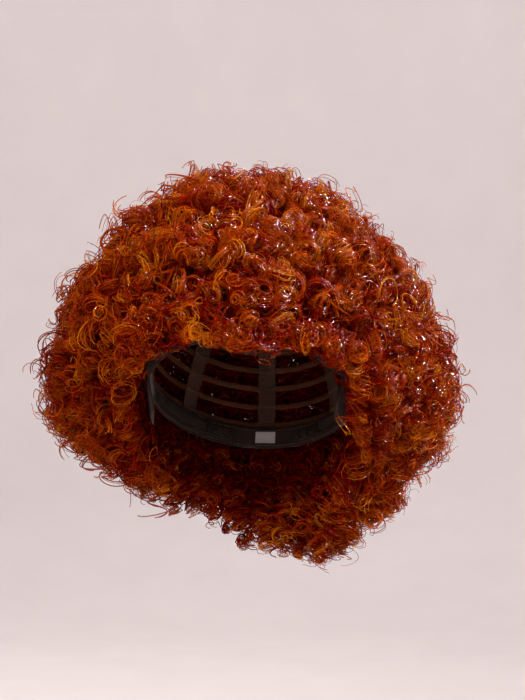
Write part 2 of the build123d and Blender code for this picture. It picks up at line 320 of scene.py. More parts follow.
def cloth_material(name, colour, light, scale, roughness=0.8):
    """Plain cloth or plastic: fine noise between its darkest colour and its lightest, and a
    small bump."""
    material, nodes, links, shader = new_material(name)
    weave = noise(nodes, links, scale, detail=4)
    colours = ramp(nodes, tuple(zip(WEAVE_PLACES, (colour, light))))
    links.new(weave, colours.inputs["Fac"])
    links.new(colours.outputs["Color"], shader.inputs["Base Color"])
    bump = nodes.new("ShaderNodeBump")
    bump.inputs["Strength"].default_value = BUMP_STRENGTH
    bump.inputs["Distance"].default_value = BUMP_HEIGHT
    links.new(weave, bump.inputs["Height"])
    links.new(bump.outputs["Normal"], shader.inputs["Normal"])
    shader.inputs["Roughness"].default_value = roughness
    shader.inputs["Specular IOR Level"].default_value = CLOTH_GLOSS
    return material


# ================================================================ camera, light and stage
def aim(thing, target):
    thing.rotation_euler = (Vector(target) - thing.location).to_track_quat("-Z", "Y").to_euler()


def add_camera():
    """Level with the fringe, turned 7 degrees to the wearer's left."""
    turn = math.radians(7.0)
    distance = 1.3
    aside = 8 * MM
    level = -83 * MM
    view_height = 517 * MM
    target = Vector((math.cos(turn), math.sin(turn), 0)) * aside + Vector((0, 0, level))
    camera = bpy.data.objects.new("camera", bpy.data.cameras.new("camera"))
    camera.location = target + Vector((math.sin(turn), -math.cos(turn), 0)) * distance
    aim(camera, target)
    camera.data.lens = camera.data.sensor_width * distance / view_height
    bpy.context.scene.collection.objects.link(camera)
    bpy.context.scene.camera = camera


def add_light(name, place, size, power, colour, target):
    light = bpy.data.lights.new(name, "AREA")
    light.size = size
    light.energy = power
    light.color = colour
    thing = bpy.data.objects.new(name, light)
    thing.location = place
    aim(thing, target)
    bpy.context.scene.collection.objects.link(thing)
    return thing


def add_stage():
    """A round room: a pale floor that curves up into a pale wall."""
    floor_z = -0.62
    top = 2.2
    radius = 2.8
    bend = 0.8
    bend_steps = 12
    sides = 96
    profile = [(0.0, floor_z), (radius - bend, floor_z)]
    for step in range(1, bend_steps + 1):
        angle = math.pi / 2 * step / bend_steps
        reach = radius - bend + bend * math.sin(angle)
        profile.append((reach, floor_z + bend - bend * math.cos(angle)))
    profile.append((radius, top))
    turns = np.arange(sides) / sides * TURN
    points = [(r * math.cos(a), r * math.sin(a), z) for r, z in profile for a in turns]
    faces = []
    for ring in range(len(profile) - 1):
        for side in range(sides):
            here, there = ring * sides + side, ring * sides + (side + 1) % sides
            faces.append((here, there, there + sides, here + sides))
    mesh = bpy.data.meshes.new("backdrop")
    mesh.from_pydata(points, [], faces)
    mesh.shade_smooth()
    backdrop = bpy.data.objects.new("backdrop", mesh)
    paint = cloth_material("painted_wall", (0.71, 0.665, 0.664), (0.74, 0.695, 0.694), 9.0)
    paint.node_tree.nodes["Principled BSDF"].inputs["Specular IOR Level"].default_value = 0
    mesh.materials.append(paint)
    bpy.context.scene.collection.objects.link(backdrop)


def add_lighting():
    """Soft light all round, and one small light that adds only gloss."""
    for name, *settings in LIGHTS:
        light = add_light(name, *settings)
        light.visible_diffuse = name not in GLOSS_ONLY
        light.visible_glossy = name not in NO_GLOSS
    world = bpy.data.worlds.new("studio")
    world.use_nodes = True
    sky = world.node_tree.nodes["Background"]
    sky.inputs["Color"].default_value = SKY_COLOUR
    sky.inputs["Strength"].default_value = SKY_STRENGTH
    bpy.context.scene.world = world
    bpy.context.scene.view_settings.view_transform = "Standard"


# ================================================================ hair surfaces
LEVEL_TABLE = np.array(LEVELS) * MM


def outline(level, angle):
    """A point on the hair's outline. level counts down the table; angle is round Z."""
    height, half_width, front, back = (
        np.interp(level, np.arange(len(LEVEL_TABLE)), column) for column in LEVEL_TABLE.T
    )
    middle = (front + back) / 2
    half_depth = (back - front) / 2
    return np.stack(
        [half_width * np.cos(angle), middle + half_depth * np.sin(angle), height + 0 * angle], -1
    )


def outline_normal(level, angle):
    rise = 0.25
    swing = 0.05
    down = outline(level + rise, angle) - outline(level - rise, angle)
    around = outline(level, angle + swing) - outline(level, angle - swing)
    return unit(np.cross(around, -down))


def inside_outline(points, margin=0.0):
    order = np.argsort(LEVEL_TABLE[:, 0])
    table = LEVEL_TABLE[order]
    half_width, front, back = (
        np.interp(points[:, 2], table[:, 0], column) for column in table.T[1:]
    )
    middle = (front + back) / 2
    half_depth = (back - front) / 2
    across = points[:, 0] / (half_width + margin)
    deep = (points[:, 1] - middle) / (half_depth + margin)
    return (across**2 + deep**2 < 1) & (points[:, 2] > table[0, 0])


def in_face_opening(points, margin):
    """Points in front of the face, below the fringe and between the side curls."""
    x = np.abs(points[:, 0])
    half = FACE_HALF_WIDTH + margin
    top = FRINGE_Z + margin
    corner = TEMPLE_CORNER
    in_rectangle = (x < half) & (points[:, 2] < top) & (points[:, 1] < FACE_BACK_Y)
    past_x = x - (half - corner)
    past_z = points[:, 2] - (top - corner)
    outside_corner = (past_x > 0) & (past_z > 0) & (past_x**2 + past_z**2 > corner**2)
    return in_rectangle & ~outside_corner


def in_neck(points, margin):
    x = points[:, 0] / (NECK[0] + margin)
    y = points[:, 1] / (NECK[1] + margin)
    return (x**2 + y**2 < 1) & (points[:, 2] < EDGE_Z)


def head_distance(points, margin=0.0):
    """Below 1 inside the head grown by a margin."""
    return np.linalg.norm((points - CENTRE) / (HEAD + margin), axis=-1)


def out_from_head(points):
    return unit((points - CENTRE) / HEAD**2)


def above_edge(points):
    return (points - EDGE_POINT) @ SQUARE


def section(distance, height):
    """The middle and half axes of the cut through the head, grown by a distance, at a
    height above the cap's edge."""
    width, depth, tall = (side + distance for side in HEAD)
    support = np.sqrt((depth * SQUARE[1]) ** 2 + (tall * SQUARE[2]) ** 2)
    level = (EDGE_Z - CENTRE[2]) * SQUARE[2] + height
    shrink = np.sqrt(1 - (level / support) ** 2)
    shift = level / support**2
    middle_y = depth**2 * SQUARE[1] * shift
    middle_z = CENTRE[2] + tall**2 * SQUARE[2] * shift
    return middle_y, middle_z, width * shrink, depth * tall / support * shrink


def cap_point(distance, height, turn):
    """A point on the grown head, turned from its centre front towards the left."""
    middle_y, middle_z, across, along = section(distance, height)
    back = -along * np.cos(turn)
    return np.stack(
        [across * np.sin(turn), middle_y + back * ALONG[1], middle_z + back * ALONG[2]], -1
    )


LUMP_WAVES = unit(random.normal(0, 1, (LUMP_COUNT, 3)))
LUMP_WAVES = LUMP_WAVES * (TURN / (random.uniform(*LUMP_LENGTHS, (LUMP_COUNT, 1)) * MM))
LUMP_PHASES = random.uniform(0, TURN, LUMP_COUNT)


def lumps(points):
    """Soft bumps of the whole outline, from -1 to 1."""
    usual_peak = 3.2
    waves = np.sin(points @ LUMP_WAVES.T + LUMP_PHASES).sum(axis=1)
    return np.clip(waves / usual_peak, -1, 1)


def outer_samples(spacing, inward=0.0):
    """Evenly spread points on the hair's outline with their normals."""
    end = 0.02
    row_gap = 0.9
    row_twist = 40
    along_row = 0.35
    off_row = 0.1
    clear = 2 * MM
    fine = np.linspace(end, len(LEVELS) - 1 - end, 500)
    length = running_length(outline(fine, np.zeros_like(fine)))
    points, normals = [], []
    for row in np.arange(spacing / 2, length[-1], spacing * row_gap):
        level = np.interp(row, length, fine)
        ring = outline(level, np.linspace(0, TURN, 60))
        count = max(3, int(running_length(ring)[-1] / spacing))
        places = np.arange(count) + random.uniform(-along_row, along_row, count)
        angle = places / count * TURN + row * row_twist
        levels = level + random.uniform(-off_row, off_row, count)
        points.append(outline(levels, angle))
        normals.append(outline_normal(levels, angle))
    points, normals = np.concatenate(points), np.concatenate(normals)
    points = points + normals * (lumps(points) * LUMP_HEIGHT - LUMP_SINK - inward)[:, None]
    side = np.where(points[:, 0] > 0, 0, 1)
    for index, fullness in enumerate(SIDE_FULLNESS):
        push = np.interp(-points[:, 2] / MM, SIDE_DEPTHS, fullness) * MM
        points[:, 0] += np.where(side == index, push * normals[:, 0], 0)
    kept = ~in_face_opening(points, clear) & ~in_neck(points, clear)
    kept &= points[:, 2] > lowest_hair(points[:, 0])
    return points[kept], normals[kept]


def grid_samples(first, second, spacing):
    """A flat grid over two ranges, each point moved a little at random."""
    sides = [np.arange(*span, spacing / MM) * MM for span in (first, second)]
    grid = [values.ravel() for values in np.meshgrid(*sides)]
    return [values + random.uniform(-JITTER, JITTER, len(values)) * spacing for values in grid]


def curtain_samples(spacing):
    """The inner faces of the side curls, beside the face."""
    inset = -6 * MM
    away = FACE_HALF_WIDTH + 3 * MM
    y, z = grid_samples(CURTAIN_Y, CURTAIN_Z, spacing)
    points, normals = [], []
    for side in (-1, 1):
        sheet = np.stack([np.full_like(y, side * away), y, z], -1)
        sheet = sheet[inside_outline(sheet, inset)]
        points.append(sheet)
        normals.append(np.tile((-side, 0.0, 0.0), (len(sheet), 1)))
    return np.concatenate(points), np.concatenate(normals)


def nape_samples(spacing):
    """The inner faces of the hair round the neck, below the cap."""
    row_gap = 0.9
    clear = 5 * MM
    inset = 6 * MM
    usual_radius = 60 * MM
    furthest_front = -4 * MM
    count = int(TURN * usual_radius / spacing)
    points, normals = [], []
    for row in np.arange(*NECK_HAIR_Z, spacing / MM * row_gap) * MM:
        angle = (np.arange(count) + random.uniform(-JITTER, JITTER, count)) / count * TURN
        outward = np.stack([np.cos(angle), np.sin(angle), 0 * angle], -1)
        shrink = math.sqrt(max(0.0, 1 - ((row - CENTRE[2]) / (HEAD[2] + clear)) ** 2))
        head = np.maximum((HEAD[:2] + clear) * shrink, MM)
        reaches = [1 / np.linalg.norm(outward[:, :2] / oval, axis=1) for oval in (NECK, head)]
        points.append(outward * np.maximum(*reaches)[:, None] + np.array((0, 0, row)))
        normals.append(-outward)
    points, normals = np.concatenate(points), np.concatenate(normals)
    kept = inside_outline(points, -inset) & (above_edge(points) < -inset)
    kept &= (points[:, 1] > furthest_front) & (points[:, 2] > lowest_hair(points[:, 0]) + inset)
    return points[kept], normals[kept]


def fringe_samples(spacing):
    """The underside of the fringe."""
    x, y = grid_samples(FRINGE_X, FRINGE_Y, spacing)
    points = np.stack([x, y, np.full_like(x, FRINGE_Z + 4 * MM)], -1)
    kept = inside_outline(points, -8 * MM) & (head_distance(points, 6 * MM) > 1)
    normals = np.tile(unit(np.array((0.0, -0.5, -1.0))), (len(points), 1))
    return points[kept], normals[kept]


# ================================================================ strands
def random_sideways(normals, pull):
    """Random directions across the surface, pulled downwards."""
    aim_at = random.normal(0, 1, normals.shape) + DOWN * pull
    return unit(aim_at - normals * np.sum(aim_at * normals, -1, keepdims=True))


def grow_locks(points, normals, depth, radius, turns, roll, sink=(-7.0, 1.0), pull=0.7):
    """One dictionary of arrays, a row for each lock of curls.

    A lock's core starts depth under the surface, comes out to its elbow, and rolls over
    sideways to its tip. radius and turns are those of its curl, roll is how far it runs
    across the surface, sink is how far outside the surface its tip lies, and pull is how
    strongly it leans down.
    """
    count = len(points)
    root = points - normals * (depth * random.uniform(*DEPTH_SHARES, count))[:, None]
    root = root + random.normal(0, ROOT_SPREAD, (count, 3))
    sideways = random_sideways(normals, pull)
    elbow = points - normals * (random.uniform(*ELBOW_DEPTHS, count) * MM)[:, None]
    tip = points + sideways * (roll * random.uniform(*ROLL_SHARES, count))[:, None]
    tip = tip + normals * (random.uniform(*sink, count) * MM)[:, None]
    size = random.uniform(*LOCK_SIZES, count)
    return {
        "root": root,
        "elbow": elbow,
        "tip": tip,
        "radius": radius * size,
        "turns": turns * random.uniform(*TURN_SHARES, count) / size**SIZE_LOOSENS,
        "opening": random.choice(TIP_OPENINGS, count),
        "phase": random.uniform(0, TURN, count),
        "hand": random.choice((-1.0, 1.0), count),
        "frizz": random.uniform(*FRIZZ, count),
        "tone": random.beta(*TONE_LEANS, count),
        "home": points,
    }


def curl_strands(
    locks, per_lock, spread, thickness, loose=0.22, places=STRAND_POINTS, hang=6 * MM
):
    """Every strand's centreline, its sideways direction, its thickness and its tone."""
    count = len(locks["root"])
    which = np.repeat(np.arange(count), per_lock)
    total = len(which)
    bunching = 0.85
    t = (np.linspace(0, 1, places) ** bunching)[None, :, None]

    def each(name):
        return locks[name][which]

    def deep(values):
        return values[:, None, None]

    root, elbow, tip = (each(name)[:, None, :] for name in ("root", "elbow", "tip"))
    tip = elbow + (tip - elbow) * random.uniform(*REACH_SHARES, (total, 1, 1))
    even = 0.12
    ease = 1.6
    c = (1 - even) * (1 - (1 - t) ** ease) + even * t
    core = root * (1 - c) ** 2 + elbow * (2 * c * (1 - c)) + tip * c**2
    run = unit((elbow - root) * (1 - c) + (tip - elbow) * c)
    first = unit(np.cross(elbow - root, tip - elbow) + 1e-9)
    second = np.cross(run, first)
    turns = each("turns") * random.uniform(*STRAND_TURNS, total)
    frizz = each("frizz")
    phase = deep(each("phase") + random.normal(0, loose, total) * frizz)
    tightens = 1.1
    angle = phase + deep(each("hand") * TURN * turns) * t**tightens
    full_at = 0.3
    least = 0.2
    opens_at = 0.6
    opened = np.clip((t - opens_at) / (1 - opens_at), 0, 1)
    swell = np.clip(t / full_at, least, 1) * (1 + (deep(each("opening")) - 1) * opened)
    radius = each("radius") * (1 + random.normal(0, RADIUS_VARIES, total) * frizz)
    curl = first * np.cos(angle) + second * np.sin(angle)
    root_spread = 0.4
    offset = random.normal(0, spread, (total, 1, 3)) * deep(frizz)
    offset = offset * (root_spread + (1 - root_spread) * t)
    beat = random.uniform(*WOBBLE_TURNS, (total, 1, 1)) * t * TURN
    other_beat = 1.3
    wobble = first * np.sin(beat + phase) + second * np.cos(beat * other_beat)
    line = keep_off_head(core + curl * deep(radius) * swell + offset + wobble * WOBBLE_SIZE)
    tip_thins = 0.4
    thick = thickness * random.uniform(*THICKNESS_SHARES, (total, 1))
    thick = thick * (1 - tip_thins * t[:, :, 0] ** 2)
    tone = np.clip(each("tone") + random.normal(0, TONE_VARIES, total), 0, 1)
    strands = {"line": line, "side": curl, "thick": thick, "tone": tone, "home": each("home")}
    kept = stays_clear(line, hang)
    return {key: value[kept] for key, value in strands.items()}


def lowest_hair(x):
    """How low the hair hangs: the nape's longest curls are left of its middle."""
    return np.interp(x / MM, LOW_X, LOW_Z) * MM


def stays_clear(line, hang):
    """Which strands leave the face and neck open, hang no lower than they should, and
    bend smoothly."""
    flat = line.reshape(-1, 3)
    in_the_way = in_face_opening(flat, -5 * MM) | in_neck(flat, -3 * MM)
    in_the_way = in_the_way.reshape(line.shape[:2]).any(axis=1)
    forgiven = random.uniform(0, 1, len(line)) < MAY_CROSS
    lowest = line[:, :, 2].min(axis=1)
    limit = lowest_hair(line[:, -1, 0]) - hang * random.uniform(*HANG_SHARES, len(line))
    hangs = (lowest < limit) | (lowest < LOWEST_Z)
    too_wide = np.abs(line[:, :, 0]).max(axis=1) > WIDEST_X
    steps = unit(np.diff(line, axis=1))
    kinked = np.sum(steps[:, :-1] * steps[:, 1:], axis=-1).min(axis=1) < SHARPEST_BEND
    return ~((in_the_way & ~forgiven) | hangs | too_wide | kinked)


def keep_off_head(line):
    """Moves what would lie inside the cap or the head out to the cap's outside."""
    flat = line.reshape(-1, 3)
    clearance = 4.6 * MM
    near = head_distance(flat, clearance)
    inner = near < 1
    flat[inner] = CENTRE + (flat[inner] - CENTRE) / near[inner][:, None]
    return flat.reshape(line.shape)


def tube_mesh(name, line, side, thick, tone):
    """Closed thin tubes as one mesh, with a strip of the bake layer for each strand."""
    strands, rings = line.shape[:2]
    run = unit(np.gradient(line, axis=1))
    across = unit(np.cross(run, side))
    up = np.cross(across, run)
    turns = np.arange(STRAND_SIDES)[:, None] / STRAND_SIDES * TURN
    ring = up[:, :, None, :] * np.cos(turns) + across[:, :, None, :] * np.sin(turns)
    points = line[:, :, None, :] + ring * thick[:, :, None, None]

    def number(strand, place, corner):
        return (strand * rings + place) * STRAND_SIDES + corner % STRAND_SIDES

    strand, place, corner = np.meshgrid(
        np.arange(strands), np.arange(rings - 1), np.arange(STRAND_SIDES), indexing="ij"
    )
    # a quad's corners: how far each is along the strand and round it
    steps = ((0, 0), (0, 1), (1, 1), (1, 0))
    quads = [number(strand, place + far, corner + round_) for far, round_ in steps]
    quads = np.stack(quads, -1).reshape(-1, 4)
    flat = [
        np.stack(
            [(place + far) / rings, (strand + (corner + round_) / STRAND_SIDES) / strands], -1
        )
        for far, round_ in steps
    ]
    flat = np.stack(flat, -2).reshape(-1, 2)
    ends = np.arange(strands)
    corners = np.arange(STRAND_SIDES)
    start_caps = number(ends[:, None], 0, corners[::-1][None, :])
    end_caps = number(ends[:, None], rings - 1, corners[None, :])
    caps = np.concatenate([start_caps, end_caps])
    cap_flat = np.full((caps.size, 2), CAP_PLACE)
    corner_index = np.concatenate([quads.ravel(), caps.ravel()])
    starts = np.concatenate(
        [np.arange(len(quads)) * 4, len(quads) * 4 + np.arange(len(caps)) * STRAND_SIDES]
    )
    mesh = bpy.data.meshes.new(name)
    mesh.vertices.add(points.size // 3)
    mesh.vertices.foreach_set("co", points.astype(np.float32).ravel())
    mesh.loops.add(len(corner_index))
    mesh.loops.foreach_set("vertex_index", corner_index.astype(np.int32))
    mesh.polygons.add(len(starts))
    mesh.polygons.foreach_set("loop_start", starts.astype(np.int32))
    mesh.update(calc_edges=True)
    mesh.shade_smooth()
    layer = mesh.uv_layers.new(name="OFBake")
    layer.data.foreach_set("uv", np.concatenate([flat, cap_flat]).astype(np.float32).ravel())
    per_ring = rings * STRAND_SIDES
    along = np.tile(np.repeat(np.linspace(0, 1, rings), STRAND_SIDES), strands)
    for label, values in (("strand_tone", np.repeat(tone, per_ring)), ("strand_along", along)):
        data = mesh.attributes.new(label, "FLOAT", "POINT").data
        data.foreach_set("value", values.astype(np.float32))
    return mesh


def hair_nodes():
    return sorted(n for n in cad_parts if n.startswith("hair_"))


def nearest_node(points):
    """For each point, the CAD hair node whose box it lies in or nearest to."""
    outside_counts = 10
    gaps = []
    for name in hair_nodes():
        low, high = (np.array(corner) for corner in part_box(name))
        outside = np.maximum(np.maximum(low - points, points - high), 0)
        middle = np.linalg.norm(points - (low + high) / 2, axis=1)
        gaps.append(np.linalg.norm(outside, axis=1) * outside_counts + middle)
    return np.argmin(np.array(gaps), axis=0)


def add_curls(groups):
    """Cuts groups of strands into pieces by CAD hair node, each small enough to export."""
    owners = [nearest_node(strands["home"]) for _, strands in groups]
    for index, node in enumerate(hair_nodes()):
        parts = []
        for (material, strands), owner in zip(groups, owners):
            own = np.flatnonzero(owner == index)
            faces = len(own) * (strands["line"].shape[1] - 1) * STRAND_SIDES
            for chosen in np.array_split(own, max(1, math.ceil(faces / MOST_FACES))):
                if len(chosen):
                    parts.append((material, strands, chosen))
        for number, (material, strands, chosen) in enumerate(parts, start=1):
            label = f"{node.replace('hair_', 'curls_')}_{number}"
            shape = [strands[key][chosen] for key in ("line", "side", "thick", "tone")]
            add_piece(label, tube_mesh(label, *shape), material, "cap", [node])


def weft_roots(count, length):
    """Hair where it leaves the wefts: straight at first, hidden under the curls, and dark with
    painted shade.
    """
    rings = 11
    radius = 0.42 * MM
    sweep = 0.45
    wave = 3 * MM
    heights = random.choice(WEFT_ROWS, count) * MM + random.uniform(0.5, 3.5, count) * MM
    turn = random.uniform(0, TURN, count)
    start = cap_point(3.9 * MM, heights, turn)
    out = out_from_head(start)
    sideways = random_sideways(out, 1.0)
    t = np.linspace(0, 1, rings)[None, :, None]
    reach = (length * random.uniform(0.7, 1.3, count))[:, None, None]
    beat = random.uniform(1.5, 4, (count, 1, 1)) * t * TURN
    line = start[:, None, :] + out[:, None, :] * reach * t
    line = line + sideways[:, None, :] * (reach * sweep * t**2 + np.sin(beat) * t * wave)
    end = line[:, -1]
    kept = ~in_face_opening(end, 12 * MM) & inside_outline(end, -10 * MM)
    return {
        "line": line[kept],
        "side": np.repeat(sideways[kept][:, None, :], rings, 1),
        "thick": np.full((kept.sum(), rings), radius),
        # Painted shade: the roots, hidden under the curls, get only dark tones.
        "tone": random.uniform(0, 0.35, kept.sum()),
        "home": end[kept],
    }


def tangle(count):
    """Short curved hair in the depth of the wig, which closes it to the light; its dark tone is
    painted shade.
    """
    rings = 12
    radius = 0.8 * MM
    below_cap = 0.22
    past_side = 0.2
    clear = 6 * MM
    clearance = random.uniform(7, 34, count) * MM
    turn = random.uniform(0, TURN, count)
    high = random.uniform(-0.95, 1, count)
    ring = np.sqrt(1 - high**2)
    ball = np.stack([ring * np.cos(turn), ring * np.sin(turn), high], -1)
    start = CENTRE + ball * (HEAD + clearance[:, None])
    low = random.uniform(0, 1, count) < below_cap
    around = random.uniform(-past_side, math.pi + past_side, count)
    aside = np.cos(around) * random.uniform(66, 95, count)
    behind = np.sin(around) * random.uniform(60, 110, count)
    drop = np.stack([aside, behind, random.uniform(-236, -130, count)], -1) * MM
    start[low] = drop[low]
    out = out_from_head(start)
    first = random_sideways(out, 0.5)
    second = np.cross(out, first)
    t = np.linspace(0, 1, rings)[None, :, None]
    bend = random.uniform(3, 7, (count, 1, 1)) * t + random.uniform(0, 6, (count, 1, 1))
    size = random.uniform(6, 12, (count, 1, 1)) * MM
    line = start[:, None, :] + first[:, None, :] * np.cos(bend) * size
    line = line + second[:, None, :] * np.sin(bend) * size + out[:, None, :] * (t - 0.5) * size
    tested = line[:, (0, rings // 2, rings - 1)].reshape(-1, 3)
    kept = inside_outline(tested, -11 * MM) & (head_distance(tested, 5 * MM) > 1)
    kept &= ~in_face_opening(tested, clear) & ~in_neck(tested, clear)
    kept &= tested[:, 2] > lowest_hair(tested[:, 0]) + 12 * MM
    kept = kept.reshape(-1, 3).all(axis=1)
    return {
        "line": line[kept],
        "side": np.repeat(out[kept][:, None, :], rings, 1),
        "thick": np.full((kept.sum(), rings), radius),
        # Painted shade: only dark tones in the depth.
        "tone": random.uniform(0, 0.4, kept.sum()),
        "home": start[kept],
    }


def add_hair():
    glossy = curl_material("curl_fibre", FIBRE_GLOSS)
    dull = curl_material("curl_fibre_in_depth", 0.0)
    points, normals = outer_samples(LOCK_SPACING)
    outer = grow_locks(points, normals, 36 * MM, radius=6.0 * MM, turns=3.0, roll=17 * MM)
    sweeping = outer_samples(20 * MM)
    sweeping = grow_locks(
        *sweeping, 22 * MM, radius=7.4 * MM, turns=2.2, roll=30 * MM, sink=(-6.0, 3.0)
    )
    under = outer_samples(17 * MM, inward=22 * MM)
    under = grow_locks(*under, 18 * MM, radius=5.5 * MM, turns=2.4, roll=18 * MM)
    # Painted shade: the hidden under layer is made darker than the curls over it.
    under["tone"] = under["tone"] * 0.4
    curtain, nape, fringe = curtain_samples, nape_samples, fringe_samples
    inner = [
        grow_locks(*curtain(11 * MM), 16 * MM, 4.2 * MM, 2.2, roll=9 * MM, sink=(-5.0, 1.0)),
        grow_locks(
            *nape(10 * MM), 14 * MM, 4.2 * MM, 2.4, roll=12 * MM, sink=(-6.0, 0.0), pull=2.5
        ),
        grow_locks(*fringe(11 * MM), 16 * MM, 4.6 * MM, 2.2, roll=10 * MM, sink=(-7.0, -2.0)),
    ]

    def stray(chosen, *measures, sink, pull):
        return grow_locks(points[chosen], normals[chosen], *measures, sink, pull)

    x, z = points[:, 0], points[:, 2]
    chosen = random.choice(len(points), 420, replace=False)
    flying = stray(chosen, 20 * MM, 5.4 * MM, 2.4, 15 * MM, sink=(2.0, 13.0), pull=0.2)
    edge = (x < -25 * MM) & (np.abs(normals[:, 1]) < 0.55) & (z > -205 * MM)
    edge = random.choice(np.flatnonzero(edge), 150, replace=False)
    loops = stray(edge, 18 * MM, 7.6 * MM, 1.9, 22 * MM, sink=(3.0, 12.0), pull=0.0)
    tail = (z < -198 * MM) & (x > 38 * MM) & (x < 76 * MM)
    tails = stray(tail, 16 * MM, 5.0 * MM, 2.6, 30 * MM, sink=(-4.0, 2.0), pull=5.0)
    groups = [
        (glossy, curl_strands(tails, 2, 1.2 * MM, 0.38 * MM, loose=0.3, hang=22 * MM)),
        (glossy, curl_strands(outer, 8, 1.15 * MM, 0.43 * MM, loose=0.2)),
        (glossy, curl_strands(sweeping, 5, 1.5 * MM, 0.4 * MM, loose=0.25, places=26)),
        (dull, curl_strands(under, 6, 2.6 * MM, 0.7 * MM, loose=0.5, places=16)),
    ]
    for locks in inner:
        groups.append((glossy, curl_strands(locks, 8, 1.2 * MM, 0.42 * MM, places=22)))
    groups += [
        (glossy, curl_strands(flying, 2, 0.8 * MM, 0.45 * MM, loose=0.3, places=42)),
        (glossy, curl_strands(loops, 4, 0.5 * MM, 0.55 * MM, 0.1, places=42, hang=16 * MM)),
        (dull, weft_roots(4200, 42 * MM)),
        (dull, tangle(6500)),
    ]
    add_curls(groups)


# ================================================================ the cap's cloth
def mesh_of(name, points, faces, weave=None):
    mesh = bpy.data.meshes.new(name)
    mesh.from_pydata(points.tolist(), [], faces.tolist())
    if weave is not None:
        layer = mesh.uv_layers.new(name="weave")
        corners = np.empty(len(mesh.loops), dtype=np.int32)
        mesh.loops.foreach_get("vertex_index", corners)
        layer.data.foreach_set("uv", weave[corners].astype(np.float32).ravel())
    mesh.validate()
    work = bmesh.new()
    work.from_mesh(mesh)
    bmesh.ops.recalc_face_normals(work, faces=work.faces)
    work.to_mesh(mesh)
    work.free()
    mesh.shade_smooth()
    return mesh


def grid_faces(ids):
    return np.stack([ids[:-1, :-1], ids[:-1, 1:], ids[1:, 1:], ids[1:, :-1]], -1).reshape(-1, 4)


def cloth_shell(name, inner, outer, closed=False):
    """A thin closed shell between two grids of points, with a weave measured in mm."""
    rows, columns = inner.shape[:2]
    ids = np.arange(rows * columns).reshape(rows, columns)
    if closed:
        ids = np.concatenate([ids, ids[:1]])
    far = rows * columns
    faces = [grid_faces(ids), grid_faces(ids[::-1]) + far]
    edges = [ids[:, 0], ids[::-1, -1]]
    if not closed:
        edges += [ids[-1, :], ids[0, ::-1]]
    for edge in edges:
        faces.append(np.stack([edge[:-1], edge[1:], edge[1:] + far, edge[:-1] + far], -1))
    across = np.linalg.norm(np.diff(inner, axis=1), axis=-1).cumsum(axis=1) / MM
    along = np.linalg.norm(np.diff(inner, axis=0), axis=-1).cumsum(axis=0) / MM
    weave = np.zeros((rows, columns, 2))
    weave[1:, :, 0] = along
    weave[:, 1:, 1] = across
    weave = np.tile(weave.reshape(-1, 2), (2, 1))
    points = np.concatenate([inner.reshape(-1, 3), outer.reshape(-1, 3)])
    return mesh_of(name, points, np.concatenate(faces), weave)


def add_piece(name, mesh, material, body, nodes=()):
    piece = bpy.data.objects.new(name, mesh)
    bpy.context.scene.collection.objects.link(piece)
    mesh.materials.append(material)
    if body:
        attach(piece, body)
    if nodes:
        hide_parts(*nodes)
    return piece


def soft_edge(place):
    """How much a hemmed tape thins at its two edges, from 0 to 1. place runs 0 to 1."""
    sharpness = 9
    return np.abs(2 * place - 1) ** sharpness


def two_faces(surface, distances, relief):
    """Both faces of a cloth on the head, each raised by its relief in millimetres.

    surface gives a face's points at a distance from the head."""
    faces = []
    for distance, way in zip(distances, (-1, 1)):
        grid = surface(distance * MM)
        faces.append(grid + out_from_head(grid) * (way * relief * MM)[..., None])
    return faces


def seam_turn(distance, height, y):
    """The turn from the centre front where a cap ring crosses a distance along Y."""
    middle_y, _, _, along = section(distance, height)
    return np.arccos(np.clip((middle_y - y) / (along * ALONG[1]), -1, 1))


def stitches(name, path, out, length, gap, body):
    """Short stitches laid end to end along a path of points."""
    points = 5
    rise = 0.22 * MM
    sunk = 0.05 * MM
    steps = running_length(path)
    starts = np.arange(gap, steps[-1] - length, length + gap)
    spots = starts[:, None] + np.linspace(0, length, points)[None, :]
    line, side = (
        np.stack([np.interp(spots, steps, values[:, axis]) for axis in range(3)], -1)
        for values in (path, out)
    )
    side = unit(side)
    line = line + side * (np.sin(np.linspace(0, math.pi, points))[None, :, None] * rise - sunk)
    thick = np.full(line.shape[:2], THREAD_RADIUS)
    tone = random.uniform(0.3, 0.7, len(line))
    add_piece(name, tube_mesh(name, line, side, thick, tone), thread, body)


def band_grid(distance, from_turn, to_turn, pinch):
    """A grid of a cap band's points on one face. pinch pulls its hems together."""
    low, high = BAND_TRIM * MM, BAND_WIDTH - BAND_TRIM * MM
    place = np.linspace(0, 1, BAND_TALL)[None, :]
    height = low + (high - low) * place
    start, stop = from_turn(height), to_turn(height)
    turn = start + (stop - start) * np.linspace(0, 1, BAND_AROUND)[:, None]
    return cap_point(distance + pinch * soft_edge(place), height + 0 * turn, turn)


